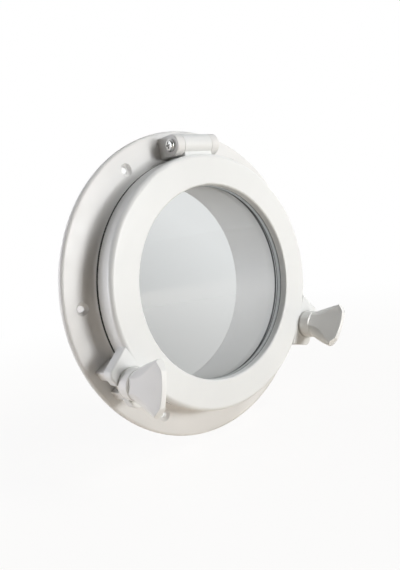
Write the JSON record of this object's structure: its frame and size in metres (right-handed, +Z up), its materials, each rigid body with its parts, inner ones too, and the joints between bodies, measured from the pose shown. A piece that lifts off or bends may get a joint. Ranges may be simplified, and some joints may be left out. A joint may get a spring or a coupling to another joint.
{
  "type": "porthole window",
  "caption": "Round opening porthole window: flanged wall frame with a spigot, gasket, glazed ring hinged at the top and wing knobs that screw it shut.",
  "frame": {"origin": "on the axis of the window, at the back face of the flange, in the middle of the circle of screw holes", "axes": "+Z up, -Y towards the room, +Y through the wall along the spigot, +X to the right as seen from the room"},
  "size_m": [0.215, 0.1009, 0.215],
  "materials": {
    "frame_plastic": "moulded, satin gloss",
    "window_plastic": "moulded, satin gloss",
    "knob_plastic": "moulded, satin gloss",
    "washer_plastic": "matte",
    "black_rubber": "matte",
    "clear_glass": "polished",
    "stainless_steel": "turned, bright"
  },
  "bodies": {
    "fixed": {"fixed_frame": "frame_plastic", "main_gasket": "black_rubber", "hinge_sleeve": "stainless_steel", "left_hinge_screw": "stainless_steel", "right_hinge_screw": "stainless_steel", "left_barrel_nut": "stainless_steel", "right_barrel_nut": "stainless_steel"},
    "window": {"window_frame": "window_plastic", "glass_pane": "clear_glass", "glass_seal": "black_rubber", "glass_retainer": "window_plastic"},
    "left_carrier": {"left_knob_washer": "washer_plastic"},
    "right_carrier": {"right_knob_washer": "washer_plastic"},
    "left_knob": {"left_knob": "knob_plastic", "left_knob_stud": "stainless_steel", "left_retaining_clip": "stainless_steel"},
    "right_knob": {"right_knob": "knob_plastic", "right_knob_stud": "stainless_steel", "right_retaining_clip": "stainless_steel"}
  },
  "joints": [
    {"name": "window_hinge", "type": "hinge", "parent": "fixed", "child": "window", "pos_m": [0, -0.0176, 0.0946], "axis": [-1, 0, 0], "range_deg": [0, 110]},
    {"name": "left_knob_slide", "type": "slide", "parent": "window", "child": "left_carrier", "axis": [0, -1, 0], "range_m": [0, 0.0034]},
    {"name": "left_knob_turn", "type": "hinge", "parent": "left_carrier", "child": "left_knob", "pos_m": [-0.08227, -0.0277, -0.0475], "axis": [0, -1, 0], "range_deg": [0, 1529]},
    {"name": "right_knob_slide", "type": "slide", "parent": "window", "child": "right_carrier", "axis": [0, -1, 0], "range_m": [0, 0.0034]},
    {"name": "right_knob_turn", "type": "hinge", "parent": "right_carrier", "child": "right_knob", "pos_m": [0.08227, -0.0277, -0.0475], "axis": [0, -1, 0], "range_deg": [0, 1529]}
  ],
  "couplings": [
    {"joint": "left_knob_slide", "follows": "left_knob_turn", "m_per_rad": 0.00012732},
    {"joint": "right_knob_slide", "follows": "right_knob_turn", "m_per_rad": 0.00012732}
  ]
}
